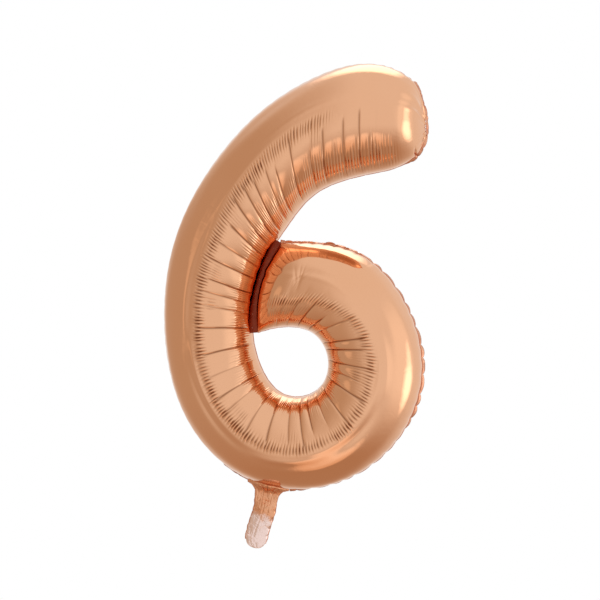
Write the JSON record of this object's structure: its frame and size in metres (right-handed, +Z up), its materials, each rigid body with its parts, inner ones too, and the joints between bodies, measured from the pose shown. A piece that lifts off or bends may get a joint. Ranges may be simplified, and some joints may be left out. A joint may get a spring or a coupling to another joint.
{
  "type": "foil number balloon",
  "caption": "Inflated metallic foil balloon shaped as the figure six, with heat-sealed edges and a folding self-sealing filling neck.",
  "frame": {"origin": "neck root: where the neck's centre line crosses the lower seam line, in the seam plane", "axes": "+Z up as the inflated figure stands, +X to the reader's right, the readable face looks along -Y"},
  "size_m": [0.4944, 0.1986, 0.8837],
  "materials": {
    "rose_gold_foil": "glossy metallised film, rose gold",
    "sealed_foil": "glossy metallised film, fused and puckered",
    "clear_valve_film": "clear soft film",
    "release_ink": "printed patch"
  },
  "bodies": {
    "balloon": {"front_panel": "rose_gold_foil", "back_panel": "rose_gold_foil", "outer_seam": "sealed_foil", "bowl_seam": "sealed_foil", "crease_seam": "sealed_foil", "counter_seam": "sealed_foil", "throat_front": "rose_gold_foil", "throat_back": "rose_gold_foil", "throat_seal_left": "sealed_foil", "throat_seal_right": "sealed_foil", "valve_stub_front": "clear_valve_film", "valve_stub_back": "clear_valve_film", "release_ink": "release_ink"},
    "neck": {"neck_front": "rose_gold_foil", "neck_back": "rose_gold_foil", "neck_seal_left": "sealed_foil", "neck_seal_right": "sealed_foil", "valve_tail_front": "clear_valve_film", "valve_tail_back": "clear_valve_film"},
    "lip_front": {"valve_lip_front": "clear_valve_film"},
    "lip_back": {"valve_lip_back": "clear_valve_film"}
  },
  "joints": [
    {"name": "neck_fold", "type": "hinge", "parent": "balloon", "child": "neck", "pos_m": [-0.00249, 0, -0.01174], "axis": [0.9781, 0, -0.2079], "range_deg": [-90, 90]},
    {"name": "valve_lip_front_open", "type": "hinge", "parent": "balloon", "child": "lip_front", "pos_m": [0.00213, -0.0005, 0.01003], "axis": [0.9781, 0, -0.2079], "range_deg": [0, 6], "stiffness_Nm_per_rad": 0.002},
    {"name": "valve_lip_back_open", "type": "hinge", "parent": "balloon", "child": "lip_back", "pos_m": [0.00213, 0.0005, 0.01003], "axis": [0.9781, 0, -0.2079], "range_deg": [-6, 0], "stiffness_Nm_per_rad": 0.002}
  ],
  "couplings": [
    {"joint": "valve_lip_back_open", "follows": "valve_lip_front_open", "ratio": -1}
  ]
}
